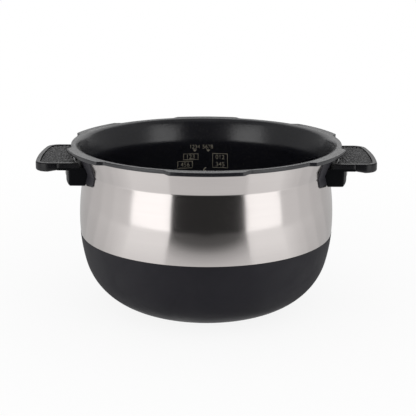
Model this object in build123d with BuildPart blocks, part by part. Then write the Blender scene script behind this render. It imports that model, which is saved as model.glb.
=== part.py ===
"""Removable inner pot of a pressure rice cooker: a clad bowl with a six-lug rim and two screwed-on grips.

Millimetres, Z up. The origin is the centre of the base and X runs from grip to grip.
"""

from math import asin, atan2, cos, degrees, hypot, radians, sin, sqrt
import os

from build123d import *

# Bowl, measured on the outer face of the steel shell
rim_height = 127.0  # base to the top of the rim
belly_radius = 98.0  # widest point of the bowl
belly_height = 68.8
base_corner_radius = 48.3  # sweep from the flat base into the wall
lower_wall_radius = 130.5  # bulge below the belly
upper_wall_radius = 171.0  # bulge between belly and waist
neck_height = 19.1  # waist to the top of the rim
band_height = 58.1  # lower edge of the bare steel band

# Layers of the wall, from outside to inside
base_coat_thickness = 0.2
bond_gap = 0.02  # glue line between the base coat and the steel
shell_thickness = 0.6
core_thickness = 1.4
liner_thickness = 0.4
nonstick_thickness = 0.3

# Rim and the lugs that turn into the lid's locking ring
lip_bend_radius = 2.0  # outside of the bend from neck to rim
lip_overhang = 7.1  # waist to the centre of that bend
rim_width = 2.5  # flat of the rim between two lugs
lug_count = 6
lug_reach = 4.4
lug_tip_width = 51.0
lug_root_width = 58.0
lug_corner_radius = 1.2
lug_root_fillet = 1.5

# Saddle that seats a grip on the waist, an even layer that follows the wall
saddle_thickness = 0.8
saddle_span = 59.5  # degrees around the pot
saddle_drop = 6.3  # below the waist
saddle_corner_radius = 2.0
lip_clearance = 0.5  # saddle to the bend of the rim

# Grip: a base block with a tongue, a cover on top and a soft pad let into the cover
grip_width = 70.2
grip_drop = 10.15  # rim to the top of the grip
grip_reach = 21.4  # out from the base block
grip_end_radius = 220.0
grip_corner_radius = 10.0
cover_setback = 6.7  # waist to the inner edge of the cover
block_depth = 14.0  # out from the waist
block_height = 12.0  # below the tongue
block_corner_radius = 1.5
block_edge_fillet = 1.5
block_inset = 0.6  # sides set in from the cover
tongue_inset = 0.4
tongue_thickness = 1.8
cover_floor = 2.2  # cover under the pad
cover_skirt = 2.4  # wall of the cover around the tongue
cover_skirt_length = 18.5  # back from the end of the grip
cover_skirt_drop = 1.2  # below the tongue
cover_top_fillet = 1.2
cover_bottom_fillet = 1.6
border_width = 3.6
border_height = 0.5  # border above the pad
inner_border_width = 1.6
pad_thickness = 1.0
pad_corner_radius = 6.0
fit_clearance = 0.2

# Hollows that lighten the block from below
hollow_length = 11.0
hollow_width = 5.0
hollow_depth = 7.0
hollow_offset = 25.0  # from the middle of the grip

# Threaded bosses welded to the waist, and the screws and washers that hold the grip to them
boss_diameter = 6.6
boss_offset = 13.0  # from the middle of the grip
boss_drop = 1.6  # below the waist
boss_reach = 8.2  # out from the waist
boss_clearance = 0.15
screw_diameter = 4.0
screw_clearance = 0.25
screw_thread = 4.6  # length in the boss
head_diameter = 7.0
head_height = 2.4
head_edge_fillet = 0.7
washer_diameter = 7.6
washer_thickness = 0.8
seat_depth = 3.0  # block left under the washer starts here, in from its outer face
driver_slot_length = 3.8
driver_slot_width = 0.9
driver_slot_depth = 1.2

# Countersunk screws that hold the cover to the tongue
cover_screw_diameter = 2.6
cover_screw_length = 3.6
cover_screw_head = 4.8
cover_screw_offset = 20.0  # from the middle of the grip
cover_screw_setback = 10.8  # from the end of the grip
cover_driver_slot_length = 2.6
cover_driver_slot_depth = 0.7

# Worked out from the sizes above
wall_thickness = shell_thickness + core_thickness + liner_thickness + nonstick_thickness
waist_height = rim_height - neck_height
flange_bottom = rim_height - wall_thickness
corner_centre_height = base_coat_thickness + base_corner_radius
lower_centre = (belly_radius - lower_wall_radius, belly_height)
upper_centre = (belly_radius - upper_wall_radius, belly_height)
waist_radius = upper_centre[0] + sqrt(upper_wall_radius**2 - (waist_height - belly_height) ** 2)
corner_rise = belly_height - corner_centre_height
flat_radius = lower_centre[0] + sqrt((lower_wall_radius - base_corner_radius) ** 2 - corner_rise**2)
corner_centre = (flat_radius, corner_centre_height)
join_angle = degrees(atan2(-corner_rise, flat_radius - lower_centre[0]))
bend_centre = (waist_radius + lip_overhang, flange_bottom - lip_bend_radius)
bend_rise = bend_centre[1] - waist_height
flare_angle = degrees(
    atan2(lip_overhang, bend_rise) - asin(lip_bend_radius / hypot(lip_overhang, bend_rise))
)
along_neck = Vector(sin(radians(flare_angle)), cos(radians(flare_angle)))
outward = Vector(cos(radians(flare_angle)), -sin(radians(flare_angle)))
plain_rim_radius = bend_centre[0] + rim_width
lug_radius = plain_rim_radius + lug_reach

saddle_bottom = waist_height - saddle_drop
saddle_top = bend_centre[1] - lip_clearance
cover_radius = waist_radius + cover_setback
block_radius = waist_radius + block_depth
grip_end = block_radius + grip_reach
grip_top = rim_height - grip_drop
pad_bottom = grip_top - border_height - pad_thickness
tongue_top = pad_bottom - cover_floor
tongue_bottom = tongue_top - tongue_thickness
block_bottom = tongue_bottom - block_height
skirt_start = grip_end - cover_skirt_length
skirt_bottom = tongue_bottom - cover_skirt_drop
boss_height = waist_height - boss_drop
boss_end = waist_radius + boss_reach
seat_face = sqrt(block_radius**2 - boss_offset**2) - seat_depth
screw_tip = boss_end - screw_thread
cover_screw_x = grip_end - cover_screw_setback


def waist_at(depth):
    """Finds where wall and neck meet at a depth below the shell's outer face, and its angle."""
    neck_foot = Vector(waist_radius, waist_height) - outward * depth
    from_centre = neck_foot - Vector(*upper_centre)
    slide = from_centre.dot(along_neck)
    upper_radius = upper_wall_radius - depth
    rise = sqrt(slide**2 - from_centre.length**2 + upper_radius**2) - slide
    waist = neck_foot + along_neck * rise
    return waist, degrees(atan2(waist.Y - upper_centre[1], waist.X - upper_centre[0]))


def wall_line(depth, reach):
    """Draws the wall from axis to rim at a depth below the shell's outer face, and gives its ends."""
    floor = base_coat_thickness + depth
    waist, waist_angle = waist_at(depth)
    bend_radius = lip_bend_radius + depth
    neck_top = Vector(*bend_centre) - outward * bend_radius
    rim_level = bend_centre[1] + bend_radius
    Line((0, floor), (flat_radius, floor))
    CenterArc(corner_centre, base_corner_radius - depth, -90, 90 + join_angle)
    CenterArc(lower_centre, lower_wall_radius - depth, join_angle, -join_angle)
    CenterArc(upper_centre, upper_wall_radius - depth, 0, waist_angle)
    Line(waist, neck_top)
    CenterArc(bend_centre, bend_radius, 180 - flare_angle, flare_angle - 90)
    Line((bend_centre[0], rim_level), (reach, rim_level))
    return (0, floor), (reach, rim_level)


def wall_layer(outer_depth, inner_depth, outline):
    """Makes one layer of the wall, trimmed at the rim to an outline with lugs."""
    with BuildPart() as layer:
        with BuildSketch(Plane.XZ):
            with BuildLine():
                outer_ends = wall_line(outer_depth, lug_radius)
                inner_ends = wall_line(inner_depth, lug_radius)
                Line(outer_ends[0], inner_ends[0])
                Line(outer_ends[1], inner_ends[1])
            make_face()
        revolve(axis=Axis.Z)
        with BuildSketch():
            add(outline)
        extrude(amount=rim_height, mode=Mode.INTERSECT)
    return layer


# Outline of the rim with its lugs, and of the metal inside the coat on its edge
with BuildSketch() as lug:
    with BuildLine():
        tip_level = sqrt(lug_radius**2 - (lug_tip_width / 2) ** 2)
        root_level = sqrt(plain_rim_radius**2 - (lug_root_width / 2) ** 2)
        tip_left = (-lug_tip_width / 2, tip_level)
        tip_right = (lug_tip_width / 2, tip_level)
        ThreePointArc(tip_left, (0, lug_radius), tip_right)
        Polyline(
            tip_right, (lug_root_width / 2, root_level), (0, 0), (-lug_root_width / 2, root_level), tip_left
        )
    make_face()

with BuildSketch() as rim_outline:
    Circle(plain_rim_radius)
    with PolarLocations(0, lug_count):
        add(lug.sketch)
    corners = [v for v in rim_outline.vertices() if abs(v.Y) > lug_reach]
    mid_reach = plain_rim_radius + lug_reach / 2
    fillet([v for v in corners if hypot(v.X, v.Y) > mid_reach], lug_corner_radius)
    roots = [v for v in rim_outline.vertices() if hypot(v.X, v.Y) < plain_rim_radius + nonstick_thickness]
    fillet([v for v in roots if abs(v.Y) > lug_reach], lug_root_fillet)

with BuildSketch() as metal_outline:
    add(rim_outline.sketch)
    offset(amount=-nonstick_thickness, mode=Mode.REPLACE)

# Bonded layers of the bowl
shell_inside = shell_thickness
core_inside = shell_inside + core_thickness
liner_inside = core_inside + liner_thickness
outer_shell = wall_layer(0, shell_inside, metal_outline.sketch)
aluminium_core = wall_layer(shell_inside, core_inside, metal_outline.sketch)
inner_liner = wall_layer(core_inside, liner_inside, metal_outline.sketch)
inside_coat = wall_layer(liner_inside, wall_thickness, rim_outline.sketch)

# Non-stick coat over the inside, the top of the rim and the edge of the lugs
with BuildPart() as nonstick_coat:
    add(inside_coat.part)
    with BuildSketch(Plane.XY.offset(flange_bottom)):
        add(rim_outline.sketch)
        add(metal_outline.sketch, mode=Mode.SUBTRACT)
    extrude(amount=wall_thickness)

# Heat-resistant coat on the flat of the base, which the pot stands on
with BuildPart() as base_sole:
    with BuildSketch():
        Circle(flat_radius)
    extrude(amount=base_coat_thickness - bond_gap)

# The same coat around the sole, up to the steel band
with BuildPart() as base_coat:
    with BuildSketch(Plane.XZ):
        with BuildLine():
            coat_ends = wall_line(-base_coat_thickness, lug_radius)
            steel_ends = wall_line(-bond_gap, lug_radius)
            Line(coat_ends[0], steel_ends[0])
            Line(coat_ends[1], steel_ends[1])
        make_face()
    revolve(axis=Axis.Z)
    split(bisect_by=Plane.XY.offset(band_height), keep=Keep.BOTTOM)
    with BuildSketch():
        Circle(flat_radius)
    extrude(amount=base_coat_thickness, mode=Mode.SUBTRACT)


def filled_waist(growth):
    """Fills the pot from belly to rim and grows it outwards, to shape what is fitted to its waist."""
    with BuildPart() as filled:
        with BuildSketch(Plane.XZ):
            with BuildLine():
                waist, waist_angle = waist_at(-growth)
                neck_top = waist + along_neck * neck_height
                CenterArc(upper_centre, upper_wall_radius + growth, 0, waist_angle)
                belly = (belly_radius + growth, belly_height)
                Polyline(waist, neck_top, (0, neck_top.Y), (0, belly_height), belly)
            make_face()
        revolve(axis=Axis.Z)
    return filled


pot_space = filled_waist(0)
saddle_space = filled_waist(saddle_thickness)
block_space = filled_waist(saddle_thickness + fit_clearance / 2)

# Plan of the grip, from its inner edge to the bowed end
grip_bow = grip_end_radius - sqrt(grip_end_radius**2 - (grip_width / 2) ** 2)
with BuildSketch() as grip_plan:
    with BuildLine():
        end_left = (grip_end - grip_bow, grip_width / 2)
        end_right = (grip_end - grip_bow, -grip_width / 2)
        ThreePointArc(end_right, (grip_end, 0), end_left)
        Polyline(end_left, (0, grip_width / 2), (0, -grip_width / 2), end_right)
    make_face()
    fillet(grip_plan.vertices().group_by(Axis.X)[-1], grip_corner_radius)
    Circle(cover_radius, mode=Mode.SUBTRACT)

# Plan of the pad: the grip less its border
with BuildSketch() as pad_plan:
    with BuildLine():
        pad_left = (grip_end - grip_bow - border_width, grip_width / 2 - border_width)
        pad_right = (grip_end - grip_bow - border_width, border_width - grip_width / 2)
        ThreePointArc(pad_right, (grip_end - border_width, 0), pad_left)
        Polyline(pad_left, (0, pad_left[1]), (0, pad_right[1]), pad_right)
    make_face()
    fillet(pad_plan.vertices().group_by(Axis.X)[-1], pad_corner_radius)
    Circle(cover_radius + inner_border_width, mode=Mode.SUBTRACT)

# Plan of the tongue: nearly as wide as the cover, then inside its skirt
with BuildSketch() as tongue_plan:
    add(grip_plan.sketch)
    offset(amount=-cover_skirt - fit_clearance, mode=Mode.REPLACE)
    Rectangle(
        skirt_start - fit_clearance, grip_width - 2 * tongue_inset, align=(Align.MIN, Align.CENTER)
    )
    Circle(cover_radius, mode=Mode.SUBTRACT)

boss_places = [(-boss_offset, boss_height), (boss_offset, boss_height)]
cover_screw_places = [
    (cover_screw_x, -cover_screw_offset, tongue_bottom),
    (cover_screw_x, cover_screw_offset, tongue_bottom),
]


def round_bar(diameter, start, end, mode=Mode.ADD):
    """Runs a round bar, or a bore, along X at each boss, from one X to another."""
    with BuildSketch(Plane.YZ.offset(start)) as section:
        with Locations(*boss_places):
            Circle(diameter / 2)
    extrude(section.sketch, amount=end - start, mode=mode)


def cover_screw_form(growth, mode=Mode.ADD):
    """Adds or cuts the countersunk screws of the cover, grown all round by a clearance."""
    sink_height = (cover_screw_head - cover_screw_diameter) / 2
    stand = (Align.CENTER, Align.CENTER, Align.MIN)
    head_radius = cover_screw_head / 2 + growth
    shank_radius = cover_screw_diameter / 2 + growth
    with Locations(*cover_screw_places):
        Cone(head_radius, shank_radius, sink_height, align=stand, mode=mode)
        Cylinder(shank_radius, cover_screw_length, align=stand, mode=mode)


# Threaded bosses, welded to the waist
with BuildPart() as weld_bosses:
    round_bar(boss_diameter, waist_radius - lip_overhang, boss_end)
    add(pot_space.part, mode=Mode.SUBTRACT)
    round_bar(screw_diameter, screw_tip, boss_end, Mode.SUBTRACT)

# Saddle between the pot and the block of the grip: a slice of a layer with rounded lower corners
with BuildPart() as saddle:
    with BuildSketch(Plane.XY.offset(saddle_bottom)):
        half_span = saddle_span / 2
        outer_end = block_radius / cos(radians(half_span))
        slice_corners = [
            Vector(end, 0).rotate(Axis.Z, turn)
            for end, turn in (
                (waist_radius / 2, -half_span),
                (outer_end, -half_span),
                (outer_end, half_span),
                (waist_radius / 2, half_span),
            )
        ]
        Polygon(*slice_corners, align=None)
    extrude(amount=saddle_top - saddle_bottom)
    lower_edges = saddle.edges().group_by(Axis.Z)[0]
    fillet([e for e in lower_edges if abs(e.tangent_at(0).X) > 0], saddle_corner_radius)
    add(saddle_space.part, mode=Mode.INTERSECT)
    add(pot_space.part, mode=Mode.SUBTRACT)
    round_bar(boss_diameter + 2 * boss_clearance, 0, boss_end, Mode.SUBTRACT)

# Block that takes the screws, with a tongue under the cover
with BuildPart() as grip_base:
    with BuildSketch(Plane.XY.offset(block_bottom)) as block_plan:
        Circle(block_radius)
        with Locations((waist_radius - lip_overhang, 0)):
            Rectangle(
                block_radius,
                grip_width - 2 * block_inset,
                align=(Align.MIN, Align.CENTER),
                mode=Mode.INTERSECT,
            )
        block_corners = block_plan.vertices().sort_by(Axis.X)[-2:]
        fillet(block_corners, block_corner_radius)
    extrude(amount=tongue_top - block_bottom)
    foot_edges = grip_base.faces().sort_by(Axis.Z)[0].edges()
    fillet(foot_edges.sort_by(Axis.X)[1:], block_edge_fillet)
    add(block_space.part, mode=Mode.SUBTRACT)
    with BuildSketch(Plane.XY.offset(tongue_bottom)):
        add(tongue_plan.sketch)
    extrude(amount=tongue_thickness)
    with BuildSketch(Plane.XY.offset(block_bottom)):
        block_middle = (waist_radius + saddle_thickness + block_radius) / 2
        fan = degrees(asin(hollow_offset / block_middle))
        with PolarLocations(block_middle, 3, -fan, 2 * fan, endpoint=True):
            Rectangle(hollow_width, hollow_length)
    extrude(amount=hollow_depth, mode=Mode.SUBTRACT)
    round_bar(boss_diameter + 2 * boss_clearance, 0, boss_end + fit_clearance, Mode.SUBTRACT)
    round_bar(screw_diameter + 2 * screw_clearance, boss_end, seat_face, Mode.SUBTRACT)
    round_bar(washer_diameter + 2 * fit_clearance, seat_face, grip_end, Mode.SUBTRACT)
    cover_screw_form(fit_clearance / 2, Mode.SUBTRACT)

# Cover with its raised border and the skirt around the end of the grip
with BuildPart() as grip_cover:
    with BuildSketch(Plane.XY.offset(tongue_top)):
        add(grip_plan.sketch)
    extrude(amount=grip_top - tongue_top)
    with BuildSketch(Plane.XY.offset(skirt_bottom)):
        add(grip_plan.sketch)
        with Locations((skirt_start, 0)):
            Rectangle(grip_reach, grip_width, align=(Align.MIN, Align.CENTER), mode=Mode.INTERSECT)
    extrude(amount=tongue_top - skirt_bottom)
    fillet(grip_cover.faces().sort_by(Axis.Z)[0].edges().sort_by(Axis.X)[1:], cover_bottom_fillet)
    fillet(grip_cover.faces().sort_by(Axis.Z)[-1].edges().sort_by(Axis.X)[1:], cover_top_fillet)
    with BuildSketch(Plane.XY.offset(skirt_bottom)):
        add(grip_plan.sketch)
        offset(amount=-cover_skirt, mode=Mode.REPLACE)
    extrude(amount=tongue_top - skirt_bottom, mode=Mode.SUBTRACT)
    with BuildSketch(Plane.XY.offset(pad_bottom)):
        add(pad_plan.sketch)
        offset(amount=fit_clearance, mode=Mode.REPLACE)
    extrude(amount=grip_top - pad_bottom, mode=Mode.SUBTRACT)
    cover_screw_form(0, Mode.SUBTRACT)

# Soft pad in the cover
with BuildPart() as grip_pad:
    with BuildSketch(Plane.XY.offset(pad_bottom)):
        add(pad_plan.sketch)
    extrude(amount=pad_thickness)

# Washers and cross-head screws from the block into the bosses
head_base = seat_face + washer_thickness
head_top = head_base + head_height
with BuildPart() as grip_washers:
    round_bar(washer_diameter, seat_face, head_base)
    round_bar(screw_diameter + screw_clearance, seat_face, head_base, Mode.SUBTRACT)

with BuildPart() as grip_screws:
    round_bar(head_diameter, head_base, head_top)
    fillet(grip_screws.edges().group_by(Axis.X)[-1], head_edge_fillet)
    round_bar(screw_diameter, screw_tip, head_base)
    with BuildSketch(Plane.YZ.offset(head_top)):
        with Locations(*boss_places):
            Rectangle(driver_slot_length, driver_slot_width)
            Rectangle(driver_slot_width, driver_slot_length)
    extrude(amount=-driver_slot_depth, mode=Mode.SUBTRACT)

# Countersunk screws from the tongue into the cover
with BuildPart() as cover_screws:
    cover_screw_form(0)
    with BuildSketch(Plane.XY.offset(tongue_bottom)):
        with Locations(*[place[:2] for place in cover_screw_places]):
            Rectangle(cover_driver_slot_length, driver_slot_width)
            Rectangle(driver_slot_width, cover_driver_slot_length)
    extrude(amount=cover_driver_slot_depth, mode=Mode.SUBTRACT)

# One file for each piece, with the grip's pieces turned half round for the second side
pot_pieces = {
    "outer_shell": outer_shell,
    "aluminium_core": aluminium_core,
    "inner_liner": inner_liner,
    "nonstick_coat": nonstick_coat,
    "base_coat": base_coat,
    "base_sole": base_sole,
}
grip_pieces = {
    "weld_bosses": weld_bosses,
    "saddle": saddle,
    "grip_base": grip_base,
    "grip_cover": grip_cover,
    "grip_pad": grip_pad,
    "grip_washers": grip_washers,
    "grip_screws": grip_screws,
    "cover_screws": cover_screws,
}
os.makedirs("parts", exist_ok=True)
for name, piece in pot_pieces.items():
    piece.part.label = name
    export_step(piece.part, f"parts/{name}.step")
for side, turn in (("right", 0), ("left", 180)):
    for name, piece in grip_pieces.items():
        placed = piece.part.rotate(Axis.Z, turn)
        placed.label = f"{name}_{side}"
        export_step(placed, f"parts/{name}_{side}.step")
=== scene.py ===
"""Dresses the inner pot of a pressure rice cooker and stands it in a plain pale studio.

Metres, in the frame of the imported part: Z is up, the base stands on Z = 0, the grips lie along X and
the camera looks from the -Y side.
"""

from __future__ import annotations

import logging
import math
from dataclasses import dataclass
from enum import Enum

import bmesh
import bpy
import numpy as np
from mathutils import Matrix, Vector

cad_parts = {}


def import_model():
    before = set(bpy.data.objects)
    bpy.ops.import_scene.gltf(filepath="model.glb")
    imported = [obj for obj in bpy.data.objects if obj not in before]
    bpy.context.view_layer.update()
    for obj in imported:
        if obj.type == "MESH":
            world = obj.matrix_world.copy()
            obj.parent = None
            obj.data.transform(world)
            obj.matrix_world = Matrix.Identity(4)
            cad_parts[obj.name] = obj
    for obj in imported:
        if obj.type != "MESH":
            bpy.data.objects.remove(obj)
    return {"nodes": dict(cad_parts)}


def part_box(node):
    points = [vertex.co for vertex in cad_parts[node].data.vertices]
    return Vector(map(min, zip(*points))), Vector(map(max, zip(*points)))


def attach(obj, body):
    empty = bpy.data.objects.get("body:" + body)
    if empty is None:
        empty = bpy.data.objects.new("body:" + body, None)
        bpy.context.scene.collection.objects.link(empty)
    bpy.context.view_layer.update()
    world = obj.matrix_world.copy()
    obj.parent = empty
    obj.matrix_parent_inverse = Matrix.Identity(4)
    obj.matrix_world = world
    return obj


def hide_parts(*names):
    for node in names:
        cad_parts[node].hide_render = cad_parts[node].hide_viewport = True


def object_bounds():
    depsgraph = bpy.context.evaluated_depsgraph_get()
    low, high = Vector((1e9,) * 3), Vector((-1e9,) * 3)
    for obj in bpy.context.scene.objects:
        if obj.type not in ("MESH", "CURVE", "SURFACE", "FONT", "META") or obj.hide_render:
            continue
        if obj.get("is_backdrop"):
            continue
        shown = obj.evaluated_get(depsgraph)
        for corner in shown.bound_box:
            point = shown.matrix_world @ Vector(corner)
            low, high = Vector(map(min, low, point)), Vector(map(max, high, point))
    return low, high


LOG = logging.getLogger("inner_pot")
BODY = "root"
WELD_DISTANCE = 1e-7
CREASE_ANGLE = math.radians(38.0)
CAMERA_SIDE = 90.0

Colour = tuple[float, float, float]
Pair = tuple[float, float]
Pairs = tuple[Pair, ...]


# Mesh tools


def arc(centre: np.ndarray, radius: float, start: float, end: float, count: int) -> np.ndarray:
    """Gives points of an arc: the centre plus the radius times cosine and sine of even angles.

    Args:
        centre: Centre of the arc, two numbers.
        radius: Radius of the arc.
        start: First angle in degrees.
        end: Last angle in degrees.
        count: Number of points.

    Returns:
        The points, one row each.
    """
    angles = np.radians(np.linspace(start, end, count))
    return np.column_stack((centre[0] + radius * np.cos(angles), centre[1] + radius * np.sin(angles)))


def chain(*runs: np.ndarray) -> np.ndarray:
    """Joins runs of points end to end, leaving out each run's first point where it repeats the last."""
    return np.vstack([runs[0], *(run[1:] for run in runs[1:])])


def edge_drop(distance: np.ndarray, radius: float) -> np.ndarray:
    """Gives how far a quarter-round edge has fallen: radius less the height of its circle.

    Args:
        distance: Distance in from the edge.
        radius: Radius of the round.

    Returns:
        The drop below the flat, nothing where the distance passes the radius.
    """
    inside = radius - np.clip(distance, 0.0, radius)
    return radius - np.sqrt(radius**2 - inside**2)


@dataclass
class Patch:
    """Points and faces that wait to become a mesh; each array of faces holds faces of one size."""

    points: np.ndarray
    faces: list[np.ndarray]

    @classmethod
    def from_grid(cls, points: np.ndarray) -> Patch:
        """Makes quads between the neighbours of a grid of points.

        Args:
            points: Grid of points, rows by columns by three.

        Returns:
            The patch.
        """
        rows, columns = points.shape[:2]
        corner = np.arange((rows - 1) * columns).reshape(rows - 1, columns)[:, :-1]
        quads = np.stack((corner, corner + 1, corner + columns + 1, corner + columns), axis=-1)
        return cls(points.reshape(-1, 3), [quads.reshape(-1, 4)])

    @classmethod
    def from_loops(cls, loops: np.ndarray) -> Patch:
        """Skins closed loops in order and closes the first and the last one with a flat face.

        Args:
            loops: Loops by points by three, with no point repeated at the end of a loop.

        Returns:
            The closed patch.
        """
        count, size = loops.shape[:2]
        skin = cls.from_grid(np.concatenate((loops, loops[:, :1]), axis=1))
        first = np.arange(size)[None]
        last = first[:, ::-1] + (count - 1) * (size + 1)
        return cls(skin.points, [*skin.faces, first, last])

    @classmethod
    def swept(cls, radius: np.ndarray, height: np.ndarray, turn: np.ndarray) -> Patch:
        """Sweeps a section round Z: radius times cosine and sine of each angle, at the same height.

        Args:
            radius: Radius of each point of the section, alike at all angles or with a row for each.
            height: Height of each point.
            turn: Angles in radians.

        Returns:
            The swept patch.
        """
        turn = turn[:, None]
        radius = np.broadcast_to(radius, (len(turn), radius.shape[-1]))
        height = np.broadcast_to(height, radius.shape)
        return cls.from_grid(np.stack((radius * np.cos(turn), radius * np.sin(turn), height), axis=-1))

    @classmethod
    def joined(cls, patches: list[Patch]) -> Patch:
        """Puts patches together into one, with each one's faces moved on to its own points.

        Args:
            patches: The patches, in order.

        Returns:
            The joined patch.
        """
        starts = np.cumsum([0] + [len(patch.points) for patch in patches])
        faces = [f + start for patch, start in zip(patches, starts) for f in patch.faces]
        return cls(np.vstack([patch.points for patch in patches]), faces)


def make_piece(name: str, patch: Patch, closed: bool = True) -> bpy.types.Object:
    """Turns a patch into an object at the origin, welds it and shades it smooth up to the crease angle.

    Args:
        name: Name of the object.
        patch: Points and faces.
        closed: Whether the faces close a solid, whose normals are then turned outwards.

    Returns:
        The new object.
    """
    corners = np.concatenate([f.ravel() for f in patch.faces]).astype(np.int32)
    sizes = np.concatenate([np.full(len(f), f.shape[1]) for f in patch.faces])
    starts = (np.cumsum(sizes) - sizes).astype(np.int32)
    mesh = bpy.data.meshes.new(name)
    mesh.vertices.add(len(patch.points))
    mesh.vertices.foreach_set("co", patch.points.astype(np.float32).ravel())
    mesh.loops.add(len(corners))
    mesh.loops.foreach_set("vertex_index", corners)
    mesh.polygons.add(len(starts))
    mesh.polygons.foreach_set("loop_start", starts)
    mesh.update(calc_edges=True)
    work = bmesh.new()
    work.from_mesh(mesh)
    bmesh.ops.remove_doubles(work, verts=work.verts, dist=WELD_DISTANCE)
    bmesh.ops.dissolve_degenerate(work, edges=work.edges, dist=WELD_DISTANCE)
    if closed:
        bmesh.ops.recalc_face_normals(work, faces=work.faces)
    work.to_mesh(mesh)
    work.free()
    mesh.validate()
    mesh.shade_smooth()
    mesh.set_sharp_from_angle(angle=CREASE_ANGLE)
    piece = bpy.data.objects.new(name, mesh)
    bpy.context.scene.collection.objects.link(piece)
    return piece


# Finishes


class Shader:
    """A node tree with short ways to add nodes and wires."""

    def __init__(self, tree: bpy.types.NodeTree) -> None:
        """Takes the tree and clears it."""
        self.tree = tree
        tree.nodes.clear()

    @classmethod
    def for_material(cls, name: str) -> tuple[bpy.types.Material, Shader]:
        """Makes a material and clears its tree.

        Args:
            name: Name of the material.

        Returns:
            The material and its shader.
        """
        material = bpy.data.materials.new(name)
        material.use_nodes = True
        return material, cls(material.node_tree)

    def add(self, kind: str, options: dict | None = None, **values: object) -> bpy.types.Node:
        """Adds a node.

        Args:
            kind: Type name of the node without its ShaderNode prefix.
            options: Settings of the node that aren't sockets.
            values: Inputs by socket name with underscores for spaces: a plain value is set on the
                socket and an output socket is wired to it.

        Returns:
            The node.
        """
        node = self.tree.nodes.new(f"ShaderNode{kind}")
        for key, value in (options or {}).items():
            setattr(node, key, value)
        for key, value in values.items():
            self.put(node.inputs[key.replace("_", " ")], value)
        return node

    def put(self, socket: bpy.types.NodeSocket, value: object) -> None:
        """Wires an output socket to an input, or sets the input's own value.

        Args:
            socket: The input.
            value: An output socket or a plain value.
        """
        if isinstance(value, bpy.types.NodeSocket):
            self.tree.links.new(value, socket)
        else:
            socket.default_value = value

    def math(self, operation: str, first: object, second: object = 0.0) -> bpy.types.NodeSocket:
        """Adds a Math node.

        Args:
            operation: The node's operation.
            first: First input, a socket or a number.
            second: Second input.

        Returns:
            The result.
        """
        node = self.add("Math", {"operation": operation})
        self.put(node.inputs[0], first)
        self.put(node.inputs[1], second)
        return node.outputs[0]

    def spread(self, value: object, low: float, high: float, smooth: bool = False) -> bpy.types.NodeSocket:
        """Maps 0 to 1 on to a range, or with smooth, a range on to a soft step from 0 to 1.

        Args:
            value: The value to map.
            low: Start of the range.
            high: End of the range.
            smooth: Whether the range is what is mapped from.

        Returns:
            The mapped value.
        """
        kind = "SMOOTHSTEP" if smooth else "LINEAR"
        names = ("From Min", "From Max") if smooth else ("To Min", "To Max")
        node = self.add("MapRange", {"interpolation_type": kind}, Value=value)
        for name, limit in zip(names, (low, high)):
            node.inputs[name].default_value = limit
        return node.outputs["Result"]

    def mix(self, factor: object, first: object, second: object) -> bpy.types.NodeSocket:
        """Mixes two colours.

        Args:
            factor: Share of the second colour.
            first: First colour, a socket or three numbers.
            second: Second colour.

        Returns:
            The mixed colour.
        """
        node = self.add("Mix", {"data_type": "RGBA"})
        for socket, value in zip((node.inputs[0], node.inputs[6], node.inputs[7]), (factor, first, second)):
            self.put(socket, (*value, 1.0) if isinstance(value, tuple) else value)
        return node.outputs[2]

    def blend(self, factor: object, first: object, second: object) -> bpy.types.NodeSocket:
        """Mixes two surfaces or backgrounds.

        Args:
            factor: Share of the second one.
            first: First shader's socket.
            second: Second shader's socket.

        Returns:
            The mixed shader.
        """
        node = self.add("MixShader", Fac=factor)
        self.put(node.inputs[1], first)
        self.put(node.inputs[2], second)
        return node.outputs["Shader"]

    def length(self, vector: bpy.types.NodeSocket) -> bpy.types.NodeSocket:
        """Gives the length of a vector."""
        return self.add("VectorMath", {"operation": "LENGTH"}, Vector=vector).outputs["Value"]

    def noise(self, place: object, scale: object, **values: float) -> bpy.types.NodeSocket:
        """Adds noise read at a place, with its other inputs by name, and gives its value."""
        return self.add("TexNoise", Vector=place, Scale=scale, **values).outputs["Fac"]


class Effect(Enum):
    """Effects that several finishes share, each one node group."""

    GRAIN = "grain"
    SMUDGE = "smudge"
    LATHE = "lathe_marks"
    FLECK = "fleck"


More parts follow.
